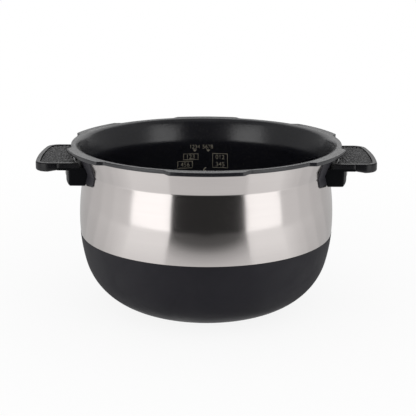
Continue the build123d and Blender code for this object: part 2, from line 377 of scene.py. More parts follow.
class Effects:
    """Builds each shared effect once, as a node group with the inputs Place and Size."""

    def __init__(self) -> None:
        """Builds all groups."""
        self.groups = {
            Effect.GRAIN: self.grain(),
            Effect.SMUDGE: self.smudge(),
            Effect.LATHE: self.lathe(),
            Effect.FLECK: self.fleck(),
        }

    @staticmethod
    def begin(effect: Effect, outputs: tuple[str, ...]) -> tuple[Shader, bpy.types.Node, bpy.types.Node]:
        """Starts a group with its sockets.

        Args:
            effect: Which effect the group is for.
            outputs: Names of its output values.

        Returns:
            The group's shader, its input node and its output node.
        """
        tree = bpy.data.node_groups.new(effect.value, "ShaderNodeTree")
        tree.interface.new_socket("Place", in_out="INPUT", socket_type="NodeSocketVector")
        tree.interface.new_socket("Size", in_out="INPUT", socket_type="NodeSocketFloat")
        for name in outputs:
            tree.interface.new_socket(name, in_out="OUTPUT", socket_type="NodeSocketFloat")
        shader = Shader(tree)
        return shader, tree.nodes.new("NodeGroupInput"), tree.nodes.new("NodeGroupOutput")

    def grain(self) -> bpy.types.NodeTree:
        """Builds moulded grain: noise whose cells are Size across, as a height and as a sharper mask.

        Returns:
            The group.
        """
        shader, given, out = self.begin(Effect.GRAIN, ("Height", "Mask"))
        scale = shader.math("DIVIDE", 1.0, given.outputs["Size"])
        noise = shader.noise(given.outputs["Place"], scale, Detail=2.0, Roughness=0.55)
        shader.put(out.inputs["Height"], noise)
        shader.put(out.inputs["Mask"], shader.spread(noise, low=0.38, high=0.62, smooth=True))
        return shader.tree

    def smudge(self) -> bpy.types.NodeTree:
        """Builds uneven wiping and handling: slow, twisted noise as a soft mask.

        Returns:
            The group.
        """
        shader, given, out = self.begin(Effect.SMUDGE, ("Mask",))
        scale = shader.math("DIVIDE", 1.0, given.outputs["Size"])
        noise = shader.noise(given.outputs["Place"], scale, Detail=4.0, Roughness=0.6, Distortion=0.8)
        shader.put(out.inputs["Mask"], shader.spread(noise, low=0.3, high=0.7, smooth=True))
        return shader.tree

    def lathe(self) -> bpy.types.NodeTree:
        """Builds turning marks: noise that changes fast up the wall, by Size, and slowly around it.

        Returns:
            The group.
        """
        shader, given, out = self.begin(Effect.LATHE, ("Height", "Mask"))
        parts = shader.add("SeparateXYZ", Vector=given.outputs["Place"])
        flat = shader.add("CombineXYZ", X=parts.outputs["X"], Y=parts.outputs["Y"])
        climb = shader.math("ADD", parts.outputs["Z"], shader.length(flat.outputs["Vector"]))
        around = 14.0
        stretched = shader.add(
            "CombineXYZ",
            X=shader.math("MULTIPLY", parts.outputs["X"], around),
            Y=shader.math("MULTIPLY", parts.outputs["Y"], around),
            Z=shader.math("DIVIDE", climb, given.outputs["Size"]),
        )
        noise = shader.noise(stretched.outputs["Vector"], 1.0, Detail=3.0, Roughness=0.65)
        shader.put(out.inputs["Height"], noise)
        shader.put(out.inputs["Mask"], shader.spread(noise, low=0.3, high=0.7, smooth=True))
        return shader.tree

    def fleck(self) -> bpy.types.NodeTree:
        """Builds flecks in a coat: small discs in about one cell of five, the cells being Size across.

        Returns:
            The group.
        """
        shader, given, out = self.begin(Effect.FLECK, ("Mask",))
        scale = shader.math("DIVIDE", 1.0, given.outputs["Size"])
        cells = shader.add("TexVoronoi", Vector=given.outputs["Place"], Scale=scale)
        disc = shader.spread(cells.outputs["Distance"], low=0.42, high=0.22, smooth=True)
        chance = shader.add("SeparateColor", Color=cells.outputs["Color"])
        flecked_share = 0.2
        chosen = shader.math("LESS_THAN", chance.outputs["Red"], flecked_share)
        shader.put(out.inputs["Mask"], shader.math("MULTIPLY", disc, chosen))
        return shader.tree

    def place(
        self, shader: Shader, effect: Effect, place: bpy.types.NodeSocket, size: float
    ) -> bpy.types.Node:
        """Puts an effect into a material.

        Args:
            shader: The material's shader.
            effect: Which effect.
            place: Coordinates to read it at.
            size: Its scale in metres.

        Returns:
            The group node.
        """
        node = shader.tree.nodes.new("ShaderNodeGroup")
        node.node_tree = self.groups[effect]
        shader.put(node.inputs["Place"], place)
        shader.put(node.inputs["Size"], size)
        return node


@dataclass(frozen=True)
class Finish:
    """A moulded or coated surface: two colours parted by a pattern, with painted shade in its hollows;
    wiping changes the roughness.
    """

    pattern = Effect.GRAIN
    name: str
    colour: Colour
    tint: Colour
    roughness: float
    roughness_spread: float
    grain_size: float
    grain_depth: float
    smudge_size: float = 0.03
    specular: float = 0.5
    metallic: float = 0.0

    def build(self, effects: Effects) -> bpy.types.Material:
        """Builds the material.

        Args:
            effects: The shared effects.

        Returns:
            The material.
        """
        material, shader = Shader.for_material(self.name)
        place = shader.add("TexCoord").outputs["Object"]
        surface = shader.add("BsdfPrincipled", Metallic=self.metallic)
        surface.inputs["Specular IOR Level"].default_value = self.specular
        self.dress(shader, effects, place, surface)
        shader.add("OutputMaterial", Surface=surface.outputs["BSDF"])
        return material

    def dress(
        self, shader: Shader, effects: Effects, place: bpy.types.NodeSocket, surface: bpy.types.Node
    ) -> None:
        """Wires colour, roughness and bump: the pattern parts the colours with painted shade in its
        hollows, smudges move the roughness.

        Args:
            shader: The material's shader.
            effects: The shared effects.
            place: Coordinates to read patterns at.
            surface: The surface shader's node.
        """
        marks = effects.place(shader, self.pattern, place, self.grain_size)
        smudge = effects.place(shader, Effect.SMUDGE, place, self.smudge_size)
        # The tint goes where the pattern's height is low: painted shade in the hollows of the bump.
        shader.put(surface.inputs["Base Color"], shader.mix(marks.outputs["Mask"], self.tint, self.colour))
        low = self.roughness - self.roughness_spread
        high = self.roughness + self.roughness_spread
        shader.put(surface.inputs["Roughness"], shader.spread(smudge.outputs["Mask"], low, high))
        bump = shader.add("Bump", Strength=1.0, Distance=self.grain_depth, Height=marks.outputs["Height"])
        shader.put(surface.inputs["Normal"], bump.outputs["Normal"])


@dataclass(frozen=True)
class TurnedSteel(Finish):
    """Steel polished on a lathe: fine rings around the pot, with a blur across them."""

    pattern = Effect.LATHE
    anisotropy: float = 0.0

    def dress(
        self, shader: Shader, effects: Effects, place: bpy.types.NodeSocket, surface: bpy.types.Node
    ) -> None:
        """Wires the plain finish with rings as its pattern, then blurs it across them.

        Args:
            shader: The material's shader.
            effects: The shared effects.
            place: Coordinates to read patterns at.
            surface: The surface shader's node.
        """
        super().dress(shader, effects, place, surface)
        tangent = shader.add("Tangent", {"direction_type": "RADIAL", "axis": "Z"})
        surface.inputs["Anisotropic"].default_value = self.anisotropy
        shader.put(surface.inputs["Tangent"], tangent.outputs["Tangent"])


@dataclass(frozen=True)
class FleckedCoat(Finish):
    """Sprayed coat with a fine orange-peel grain and scattered mineral flecks."""

    fleck_colour: Colour = (0.1, 0.1, 0.1)
    fleck_size: float = 0.001

    def dress(
        self, shader: Shader, effects: Effects, place: bpy.types.NodeSocket, surface: bpy.types.Node
    ) -> None:
        """Wires the plain finish, then lays the flecks over its colour.

        Args:
            shader: The material's shader.
            effects: The shared effects.
            place: Coordinates to read patterns at.
            surface: The surface shader's node.
        """
        super().dress(shader, effects, place, surface)
        fleck = effects.place(shader, Effect.FLECK, place, self.fleck_size)
        under = surface.inputs["Base Color"].links[0].from_socket
        colour = shader.mix(fleck.outputs["Mask"], under, self.fleck_colour)
        shader.put(surface.inputs["Base Color"], colour)


POLISHED_STEEL = TurnedSteel(
    "polished_steel", colour=(0.65, 0.612, 0.598), tint=(0.635, 0.598, 0.584),
    roughness=0.12, roughness_spread=0.02, grain_size=0.00045, grain_depth=0.00000025,
    smudge_size=0.045, metallic=1.0, anisotropy=0.55,
)
PLAIN_STEEL = TurnedSteel(
    "plain_steel", colour=(0.56, 0.56, 0.55), tint=(0.48, 0.48, 0.47),
    roughness=0.32, roughness_spread=0.05, grain_size=0.0004, grain_depth=0.000004, metallic=1.0,
)
CORE_ALUMINIUM = TurnedSteel(
    "core_aluminium", colour=(0.76, 0.77, 0.78), tint=(0.66, 0.67, 0.68),
    roughness=0.38, roughness_spread=0.05, grain_size=0.0006, grain_depth=0.000005, metallic=1.0,
)
NONSTICK_COAT = FleckedCoat(
    "nonstick_coat", colour=(0.0098, 0.0101, 0.0134), tint=(0.0068, 0.0071, 0.0098),
    roughness=0.22, roughness_spread=0.03, grain_size=0.0015, grain_depth=0.00009,
    specular=0.7, fleck_colour=(0.027, 0.0245, 0.0205), fleck_size=0.0008,
)
BASE_ENAMEL = Finish(
    "base_enamel", colour=(0.0066, 0.0057, 0.0112), tint=(0.005, 0.0042, 0.0084),
    roughness=0.56, roughness_spread=0.05, grain_size=0.00035, grain_depth=0.00001, specular=0.32,
)
GRIP_PLASTIC = Finish(
    "grip_plastic", colour=(0.0022, 0.0025, 0.0037), tint=(0.0016, 0.0018, 0.0027),
    roughness=0.4, roughness_spread=0.05, grain_size=0.0003, grain_depth=0.000005, specular=0.08,
)
COVER_PLASTIC = Finish(
    "cover_plastic", colour=(0.0044, 0.0042, 0.0058), tint=(0.0034, 0.0032, 0.0046),
    roughness=0.24, roughness_spread=0.05, grain_size=0.00035, grain_depth=0.000004, specular=0.37,
)
SADDLE_PLASTIC = Finish(
    "saddle_plastic", colour=(0.026, 0.0248, 0.0315), tint=(0.0215, 0.0203, 0.026),
    roughness=0.5, roughness_spread=0.05, grain_size=0.0004, grain_depth=0.000008, specular=0.4,
)
# The pad's tint, about half its colour, is painted shade in the hollows of the rubber's grain.
PAD_RUBBER = Finish(
    "pad_rubber", colour=(0.078, 0.078, 0.0805), tint=(0.038, 0.038, 0.0395),
    roughness=0.5, roughness_spread=0.1, grain_size=0.0008, grain_depth=0.00008, specular=0.6,
)
SCALE_INK = Finish(
    "scale_ink", colour=(0.29, 0.265, 0.205), tint=(0.22, 0.20, 0.155),
    roughness=0.5, roughness_spread=0.05, grain_size=0.0003, grain_depth=0.000003,
)


class FinishBook:
    """Builds each finish once and hands it out."""

    def __init__(self) -> None:
        """Builds the shared effects."""
        self.effects = Effects()
        self.made: dict[str, bpy.types.Material] = {}

    def material(self, finish: Finish) -> bpy.types.Material:
        """Gives a finish's material, built at its first use.

        Args:
            finish: The finish.

        Returns:
            The material.
        """
        if finish.name not in self.made:
            self.made[finish.name] = finish.build(self.effects)
        return self.made[finish.name]

    def paint(self, piece: bpy.types.Object, finish: Finish) -> None:
        """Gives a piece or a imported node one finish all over."""
        piece.data.materials.clear()
        piece.data.materials.append(self.material(finish))

    def settle(
        self, piece: bpy.types.Object, finish: Finish, slot: str, *nodes: str
    ) -> bpy.types.Object:
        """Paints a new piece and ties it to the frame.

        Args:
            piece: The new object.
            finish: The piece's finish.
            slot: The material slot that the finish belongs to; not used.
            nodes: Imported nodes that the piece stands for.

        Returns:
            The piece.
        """
        self.paint(piece, finish)
        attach(piece, BODY)
        if nodes:
            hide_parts(*nodes)
        LOG.info("%s: %d faces, %s", piece.name, len(piece.data.polygons), finish.name)
        return piece


# Bowl


@dataclass(frozen=True)
class WallSizes:
    """The bowl's section, measured on the outer face of the steel.

    The ease sizes soften the coat's face round the waist: how long a stretch is averaged, how far the
    face moves in, and how far along it keeps that depth and then loses it.
    """

    rim_height: float
    belly_radius: float = 0.0980
    belly_height: float = 0.0688
    base_corner_radius: float = 0.0483
    lower_wall_radius: float = 0.1305
    upper_wall_radius: float = 0.1710
    neck_height: float = 0.0191
    waist_bend_radius: float = 0.0020
    lip_bend_radius: float = 0.0020
    lip_overhang: float = 0.0071
    base_level: float = 0.0002
    thickness: float = 0.0027
    ease_window: float = 0.008
    ease_depth: float = 0.0006
    ease_flat: float = 0.008
    ease_below: float = 0.027
    ease_above: float = 0.0175


class Wall:
    """The wall's line in section, at any depth below the outer face of the steel.

    A flat base, a corner arc, two wall arcs, the bend of the waist, a straight neck and the bend of
    the lip follow each other with shared tangents. At a depth, each arc keeps its centre and its
    radius changes by the depth.
    """

    def __init__(self, sizes: WallSizes) -> None:
        """Works out the centres and angles of the arcs.

        Args:
            sizes: The section's sizes.
        """
        s = sizes
        self.sizes = sizes
        self.waist_height = s.rim_height - s.neck_height
        corner_level = s.base_level + s.base_corner_radius
        self.lower_centre = np.array((s.belly_radius - s.lower_wall_radius, s.belly_height))
        self.upper_centre = np.array((s.belly_radius - s.upper_wall_radius, s.belly_height))
        waist_rise = self.waist_height - s.belly_height
        self.waist_radius = self.upper_centre[0] + math.sqrt(s.upper_wall_radius**2 - waist_rise**2)
        drop = s.belly_height - corner_level
        corner_gap = s.lower_wall_radius - s.base_corner_radius
        flat_radius = self.lower_centre[0] + math.sqrt(corner_gap**2 - drop**2)
        self.corner_centre = np.array((flat_radius, corner_level))
        self.join_angle = math.degrees(math.atan2(-drop, flat_radius - self.lower_centre[0]))
        waist = np.array((self.waist_radius, self.waist_height))
        bend_level = s.rim_height - s.thickness - s.lip_bend_radius
        self.bend_centre = np.array((self.waist_radius + s.lip_overhang, bend_level))
        lean = self.bend_centre - waist
        flare = math.atan2(lean[0], lean[1]) - math.asin(s.lip_bend_radius / math.hypot(*lean))
        along = np.array((math.sin(flare), math.cos(flare)))
        outward = np.array((math.cos(flare), -math.sin(flare)))
        foot = waist + outward * s.waist_bend_radius
        from_centre = foot - self.upper_centre
        slide = from_centre @ along
        span = s.upper_wall_radius + s.waist_bend_radius
        rise = math.sqrt(slide**2 - from_centre @ from_centre + span**2) - slide
        self.waist_centre = foot + along * rise
        away = self.waist_centre - self.upper_centre
        self.waist_angle = math.degrees(math.atan2(away[1], away[0]))
        self.flare_angle = math.degrees(flare)

    def lower(self, depth: float, top: float) -> np.ndarray:
        """Gives the line from the axis up to a height on or below the belly.

        Args:
            depth: Depth below the steel's outer face.
            top: Height of the last point.

        Returns:
            Radius and height, one row for each point.
        """
        s = self.sizes
        base_points, corner_points, wall_points = 8, 30, 16
        reach = np.linspace(0.0, self.corner_centre[0], base_points)
        base = np.column_stack((reach, np.full(base_points, s.base_level + depth)))
        corner_radius = s.base_corner_radius - depth
        corner = arc(self.corner_centre, corner_radius, -90.0, self.join_angle, corner_points)
        radius = s.lower_wall_radius - depth
        top_angle = math.degrees(math.asin((top - s.belly_height) / radius))
        wall = arc(self.lower_centre, radius, self.join_angle, top_angle, wall_points)
        return chain(base, corner, wall)

    def line(self, depth: float) -> np.ndarray:
        """Gives the whole line, from the axis to the end of the lip's bend.

        Args:
            depth: Depth below the steel's outer face.

        Returns:
            Radius and height, one row for each point.
        """
        s = self.sizes
        wall_points, waist_points, neck_points, bend_points = 26, 10, 6, 12
        upper = arc(self.upper_centre, s.upper_wall_radius - depth, 0.0, self.waist_angle, wall_points)
        neck_angle = 180.0 - self.flare_angle
        waist_radius = s.waist_bend_radius + depth
        waist = arc(self.waist_centre, waist_radius, 180.0 + self.waist_angle, neck_angle, waist_points)
        bend = arc(self.bend_centre, s.lip_bend_radius + depth, neck_angle, 90.0, bend_points)
        neck = np.linspace(waist[-1], bend[0], neck_points)
        return chain(self.lower(depth, s.belly_height), upper, waist, neck, bend)

    def inside(self) -> np.ndarray:
        """Gives the line of the coat's face, which rounds the waist more softly than the steel does.

        Near the waist each point becomes the mean of the line over a window along it. The face also
        moves in by a small depth, so that it stays over the layers below. The depth fades to nothing,
        smoothly down the wall and with the square of the distance up to the lip's bend.

        Returns:
            Radius and height, one row for each point.
        """
        s = self.sizes
        eased_points, window_points = 56, 33
        line = self.line(s.thickness)
        along = np.append(0.0, np.cumsum(np.hypot(*np.diff(line, axis=0).T)))
        middle = np.interp(self.waist_height, line[:, 1], along)
        offset = np.linspace(-s.ease_below, s.ease_above, eased_points)
        near = np.abs(offset) < s.ease_window
        window = near[:, None] * np.linspace(-0.5, 0.5, window_points) * s.ease_window
        spots = middle + offset[:, None] + window
        eased = np.stack([np.interp(spots, along, column).mean(axis=1) for column in line.T], axis=-1)
        reach = np.where(offset < 0.0, s.ease_below, s.ease_above)
        gone = np.clip((np.abs(offset) - s.ease_flat) / (reach - s.ease_flat), 0.0, 1.0)
        gone = np.where(offset < 0.0, gone * gone * (3.0 - 2.0 * gone), gone * gone)
        eased[:, 0] -= s.ease_depth * (1.0 - gone)
        below = line[along < middle - s.ease_below]
        above = line[along > middle + s.ease_above]
        return np.vstack((below, eased, above))

    def radius_at(self, heights: np.ndarray, depth: float) -> np.ndarray:
        """Gives the wall's radius at heights above the flat base, read along the line."""
        line = self.line(depth)
        return np.interp(heights, line[:, 1], line[:, 0])


@dataclass(frozen=True)
class Rim:
    """Outline of the rim: a circle with lugs whose flanks are straight.

    The flank zone is the stretch to either side of a lug's middle, in degrees, that takes more points.
    """

    plain_radius: float
    lug_radius: float
    lug_count: int = 6
    tip_width: float = 0.0510
    root_width: float = 0.0580
    corner_blend: float = 0.0013
    edge_round: float = 0.00045
    flank_zone: Pair = (11.8, 18.4)

    @property
    def sector(self) -> float:
        """Angle from one lug to the next, in radians."""
        return 2.0 * math.pi / self.lug_count

    def angles(self) -> np.ndarray:
        """Gives angles once around, close together at the flanks of the lugs and closed at the end.

        Returns:
            The angles in radians.
        """
        plain_points, flank_points = 8, 15
        near, far = (math.radians(angle) for angle in self.flank_zone)
        half = chain(
            np.linspace(0.0, near, plain_points)[:, None],
            np.linspace(near, far, flank_points)[:, None],
            np.linspace(far, self.sector / 2.0, plain_points)[:, None],
        )[:, 0]
        one_lug = np.concatenate((half, self.sector - half[-2:0:-1]))
        around = (np.arange(self.lug_count)[:, None] * self.sector + one_lug).ravel()
        return np.append(around, 2.0 * math.pi) + self.sector / 2.0

    def radius(self, angles: np.ndarray) -> np.ndarray:
        """Gives the outline's radius at angles.

        The lug's arc, a straight flank between tip and root, and the plain circle follow each other;
        a running mean as long as the corner blend rounds the corners.

        Args:
            angles: Angles around the pot, where a lug's middle is at half a sector.

        Returns:
            The radius at each angle.
        """
        samples = 7200
        dense = np.arange(samples) * (2.0 * math.pi / samples)
        offset = np.abs((dense % self.sector) - self.sector / 2.0)
        tip = math.asin(self.tip_width / 2.0 / self.lug_radius)
        root = math.asin(self.root_width / 2.0 / self.plain_radius)
        cross = self.plain_radius * np.sin(root - offset) + self.lug_radius * np.sin(offset - tip)
        flank = self.plain_radius * self.lug_radius * math.sin(root - tip) / np.where(cross == 0, 1, cross)
        outline = np.where(offset < tip, self.lug_radius, np.where(offset > root, self.plain_radius, flank))
        width = int(self.corner_blend / self.plain_radius / (2.0 * math.pi / samples))
        window = np.hanning(width + 2)
        wrapped = np.concatenate((outline[-width:], outline, outline[:width]))
        rounded = np.convolve(wrapped, window / window.sum(), mode="same")[width:-width]
        return np.interp(angles, dense, rounded, period=2.0 * math.pi)


@dataclass(frozen=True)
class BowlSizes:
    """Depths of the bowl's layers, and how far its edges are set back and turned in."""

    shell_thickness: float = 0.0006
    liner_depth: float = 0.0024
    bond_gap: float = 0.00002
    metal_setback: float = 0.0010
    turn_in_share: float = 1.6
    round_points: int = 7


class Bowl:
    """The clad bowl: polished steel outside, coat inside and over the rim, dark coat on the base."""

    def __init__(self, book: FinishBook, nodes: dict[str, bpy.types.Object]) -> None:
        """Takes the rim's and the band's places from the frame.

        Args:
            book: Where finishes come from.
            nodes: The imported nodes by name.
        """
        self.book = book
        self.nodes = nodes
        self.sizes = BowlSizes()
        coat_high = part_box("nonstick_coat")[1]
        self.wall = Wall(WallSizes(rim_height=coat_high.z))
        self.rim = Rim(plain_radius=coat_high.x, lug_radius=coat_high.y)
        self.band_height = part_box("base_coat")[1].z
        self.angles = self.rim.angles()
        self.edge = self.rim.radius(self.angles)

    def lathe(self, section: np.ndarray, reach: np.ndarray | None = None) -> Patch:
        """Turns a section once around Z, with points on the rim set out to its outline.

        Args:
            section: Radius and height, one row for each point.
            reach: How much of the rim's own radius at each angle a point adds, for points on the rim.

        Returns:
            The turned surface.
        """
        radius = section[:, 0]
        if reach is not None:
            radius = radius + self.edge[:, None] * reach
        return Patch.swept(radius, section[:, 1], self.angles)

    def rim_and_walls(self, inner: np.ndarray, rim: np.ndarray, outer: np.ndarray) -> Patch:
        """Turns a closed section of two wall lines joined by points set back from the rim's outline.

        Args:
            inner: First wall line.
            rim: Points whose radius counts from the rim's outline.
            outer: Second wall line.

        Returns:
            The turned surface.
        """
        section = np.vstack((inner, rim, outer))
        reach = np.concatenate((np.zeros(len(inner)), np.ones(len(rim)), np.zeros(len(outer))))
        return self.lathe(section, reach)

    def steel_shell(self) -> bpy.types.Object:
        """Makes the steel outside, which carries on under the flange to near the lugs' edge.

        Returns:
            The piece.
        """
        outer = self.wall.line(0.0)
        inner = self.wall.line(self.sizes.shell_thickness)[::-1]
        setback = -self.sizes.metal_setback
        ends = ((setback, outer[-1, 1]), (setback, inner[0, 1]))
        patch = self.rim_and_walls(outer, np.array(ends), inner)
        piece = make_piece("steel_shell", patch)
        return self.book.settle(piece, POLISHED_STEEL, "polished_steel", "outer_shell")

    def lining(self) -> bpy.types.Object:
        """Makes the coat inside, over the lip and the flange, round its edge and back under it.

        Returns:
            The piece.
        """
        inside = self.wall.inside()
        back = self.wall.line(self.sizes.liner_depth)[::-1]
        top = self.wall.sizes.rim_height
        bottom = top - self.wall.sizes.thickness
        round_radius, points = self.rim.edge_round, self.sizes.round_points
        over = arc((-round_radius, top - round_radius), round_radius, 90.0, 0.0, points)
        under = arc((-round_radius, bottom + round_radius), round_radius, 0.0, -90.0, points)
        setback = -self.sizes.turn_in_share * round_radius
        rim = np.vstack(((setback, top), over, under, (setback, bottom), (setback, back[0, 1])))
        piece = make_piece("lining", self.rim_and_walls(inside, rim, back))
        return self.book.settle(piece, NONSTICK_COAT, "nonstick", "nonstick_coat")

    def base_coat(self) -> bpy.types.Object:
        """Makes the dark coat over the base and the lower wall, with its upper edge worn to a bevel.

        Returns:
            The piece.
        """
        outer = self.wall.lower(-self.wall.sizes.base_level, self.band_height - self.wall.sizes.base_level)
        inner = self.wall.lower(-self.sizes.bond_gap, self.band_height)[::-1]
        piece = make_piece("base_enamel", self.lathe(np.vstack((outer, inner))))
        return self.book.settle(piece, BASE_ENAMEL, "base_enamel", "base_coat", "base_sole")

    def build(self) -> None:
        """Makes the three surfaces that show and paints the layers between them."""
        self.steel_shell()
        self.lining()
        self.base_coat()
        self.book.paint(self.nodes["aluminium_core"], CORE_ALUMINIUM)
        self.book.paint(self.nodes["inner_liner"], PLAIN_STEEL)


@dataclass
class WaterScale:
    """Plain marks printed on the back of the inside: frames, pointers, figures and level lines.

    A caption is its figures, their middle and its pointer's middle. A frame is its left, right, lower
    and upper side and its rows of figures from below.
    """

    wall: Wall
    book: FinishBook
    ink_thickness: float = 0.00004
    lift: float = 0.00003
    line_width: float = 0.0005
    figure_height: float = 0.0074
    caption_height: float = 0.0035
    caption_foot: float = 0.1017
    pointer_half: float = 0.0019
    pointer_foot: float = 0.0987
    pointer_top: float = 0.1008
    framed_height: float = 0.0040
    level_middle: float = -0.0012
    first_level: float = 0.0330
    level_step: float = 0.0096
    levels: int = 6
    level_near: float = 0.0045
    level_far: float = 0.0100
    captions: tuple[tuple[str, float, float], ...] = (("1234", -0.0105, -0.0108), ("5678", 0.0012, 0.0016))
    frames: tuple[tuple[float, float, float, float, tuple[str, ...]], ...] = (
        (-0.0213, -0.0074, 0.0914, 0.0972, ("123",)),
        (-0.0264, -0.0125, 0.0838, 0.0904, ("456",)),
        (0.0054, 0.0195, 0.0841, 0.0975, ("345", "012")),
    )

    def on_wall(self, across: np.ndarray, height: np.ndarray) -> np.ndarray:
        """Lays flat places on the wall: the distance across becomes an angle from the back.

        Args:
            across: Distance to the right of the middle, as seen from the front.
            height: Height above the table.

        Returns:
            Points on the inside of the wall, lifted by less than the ink's thickness.
        """
        line = self.wall.inside()
        radius = np.interp(height, line[:, 1], line[:, 0]) - self.lift
        turn = math.pi / 2.0 - across / self.wall.sizes.belly_radius
        return np.stack((radius * np.cos(turn), radius * np.sin(turn), height), axis=-1)

    def block(self, left: float, right: float, bottom: float, top: float, taper: float = 0.0) -> Patch:
        """Makes a filled rectangle, or with a taper of one a triangle that points down.

        Args:
            left: Left side, from the middle.
            right: Right side.
            bottom: Lower side.
            top: Upper side.
            taper: Share of the width lost at the bottom.

        Returns:
            The mark on the wall.
        """
        columns, rows = 9, 5
        middle, half = (left + right) / 2.0, (right - left) / 2.0
        share = np.linspace(-1.0, 1.0, columns)[None, :]
        rise = np.linspace(0.0, 1.0, rows)[:, None]
        across = middle + half * share * (1.0 - taper * (1.0 - rise))
        height = np.broadcast_to(bottom + (top - bottom) * rise, across.shape)
        return Patch.from_grid(self.on_wall(across, height))

    def frame(self, left: float, right: float, bottom: float, top: float) -> list[Patch]:
        """Makes the four sides of an open rectangle.

        Args:
            left: Left side, from the middle.
            right: Right side.
            bottom: Lower side.
            top: Upper side.

        Returns:
            One mark for each side.
        """
        line = self.line_width
        return [
            self.block(left, right, top - line, top),
            self.block(left, right, bottom, bottom + line),
            self.block(left, left + line, bottom + line, top - line),
            self.block(right - line, right, bottom + line, top - line),
        ]

    def figure(self, text: str, middle: float, bottom: float, tall: float) -> Patch:
        """Makes figures from the built-in typeface, flattened to a mesh and laid on the wall.

        Args:
            text: The figures.
            middle: Place of their middle, from the middle of the scale.
            bottom: Height of their foot.
            tall: Height from foot to head.

        Returns:
            The mark on the wall.
        """
        curve = bpy.data.curves.new("figure", "FONT")
        curve.body = text
        curve.align_x = "CENTER"
        curve.resolution_u = 4
        holder = bpy.data.objects.new("figure", curve)
        mesh = bpy.data.meshes.new_from_object(holder)
        flat = np.empty(len(mesh.vertices) * 3, np.float32)
        mesh.vertices.foreach_get("co", flat)
        flat = flat.reshape(-1, 3).astype(float)
        mesh.calc_loop_triangles()
        faces = np.empty(len(mesh.loop_triangles) * 3, np.int32)
        mesh.loop_triangles.foreach_get("vertices", faces)
        bpy.data.objects.remove(holder)
        bpy.data.curves.remove(curve)
        bpy.data.meshes.remove(mesh)
        scale = tall / np.ptp(flat[:, 1])
        across = middle + (flat[:, 0] - np.ptp(flat[:, 0]) / 2.0 - flat[:, 0].min()) * scale
        height = bottom + (flat[:, 1] - flat[:, 1].min()) * scale
        return Patch(self.on_wall(across, height), [faces.reshape(-1, 3)])

    def marks(self) -> list[Patch]:
        """Gives all marks: two captions with pointers, three framed numbers, and the levels.

        Returns:
            The marks.
        """
        marks = []
        for text, middle, pointer in self.captions:
            left, right = pointer - self.pointer_half, pointer + self.pointer_half
            marks.append(self.figure(text, middle, self.caption_foot, self.caption_height))
            marks.append(self.block(left, right, self.pointer_foot, self.pointer_top, taper=1.0))
        for left, right, bottom, top, rows in self.frames:
            marks += self.frame(left, right, bottom, top)
            pitch = (top - bottom) / len(rows)
            for row, text in enumerate(rows):
                foot = bottom + pitch * row + (pitch - self.framed_height) / 2.0
                marks.append(self.figure(text, (left + right) / 2.0, foot, self.framed_height))
        middle, half_line = self.level_middle, self.line_width / 2.0
        for number in range(1, self.levels + 1):
            level = self.first_level + self.level_step * (number - 1)
            foot = level - self.figure_height / 2.0
            marks.append(self.figure(str(number), middle, foot, self.figure_height))
            for side in (-1.0, 1.0):
                near, far = sorted((middle + side * self.level_near, middle + side * self.level_far))
                marks.append(self.block(near, far, level - half_line, level + half_line))
        return marks

    def build(self) -> bpy.types.Object:
        """Prints the marks as one thin piece.

        Returns:
            The piece.
        """
        piece = make_piece("water_scale", Patch.joined(self.marks()), closed=False)
        ink = piece.modifiers.new("ink", "SOLIDIFY")
        ink.thickness = self.ink_thickness
        ink.offset = 0.0
        return self.book.settle(piece, SCALE_INK, "nonstick")


# Grips


class Side(Enum):
    """The two grips; the left one is the right one turned half round."""

    RIGHT = 1.0
    LEFT = -1.0

    @property
    def label(self) -> str:
        """Name of the side as the nodes end with it."""
        return self.name.lower()

    def turned(self, points: np.ndarray) -> np.ndarray:
        """Turns points of the right grip to this side."""
        return points * np.array((self.value, self.value, 1.0))


def cell_pattern(places: np.ndarray, size: float, seed: int) -> np.ndarray:
    """Gives rounded pebbles: the gap between the nearest and second nearest of scattered seeds.

    Each square of a grid holds one seed at a random place; the distances to the seeds of the nine
    squares around a place are compared.

    Args:
        places: Flat places, one row each.
        size: Size of a square.
        seed: Start of the random draws.

    Returns:
        0 in the grooves to 1 on the crowns.
    """
    seed_zone = (0.08, 0.92)
    flank_share = 0.55
    random = np.random.default_rng(seed)
    low = np.floor(places.min(axis=0) / size).astype(int) - 1
    high = np.floor(places.max(axis=0) / size).astype(int) + 2
    seeds = random.uniform(*seed_zone, (*(high - low), 2))
    square = np.floor(places / size).astype(int)
    steps = np.array([(a, b) for a in (-1, 0, 1) for b in (-1, 0, 1)])
    near = square[:, None, :] + steps
    index = near - low
    spots = (near + seeds[index[..., 0], index[..., 1]]) * size
    distance = np.sort(np.linalg.norm(spots - places[:, None, :], axis=-1), axis=1)
    share = np.clip((distance[:, 1] - distance[:, 0]) / (flank_share * size), 0.0, 1.0)
    return share * share * (3.0 - 2.0 * share)


@dataclass(frozen=True)
class GripSizes:
    """Sizes of a grip that the frame's boxes don't give."""

    end_radius: float = 0.220
    corner_radius: float = 0.010
    border_width: float = 0.0036
    inner_border_width: float = 0.0016
    skirt_width: float = 0.0024
    skirt_length: float = 0.0185
    seam_step: float = 0.0002
    seam_groove: float = 0.0005
    top_round: float = 0.0012
    lip_round: float = 0.00035
    bottom_round: float = 0.0016
    pad_gap: float = 0.0002
    pad_round: float = 0.0005
    pebble_size: float = 0.0026
    pebble_height: float = 0.00075
    pebble_seed: int = 7
    saddle_span: float = 59.5
    saddle_lean: float = 3.5
    saddle_corner: float = 0.002
    saddle_round: float = 0.0003


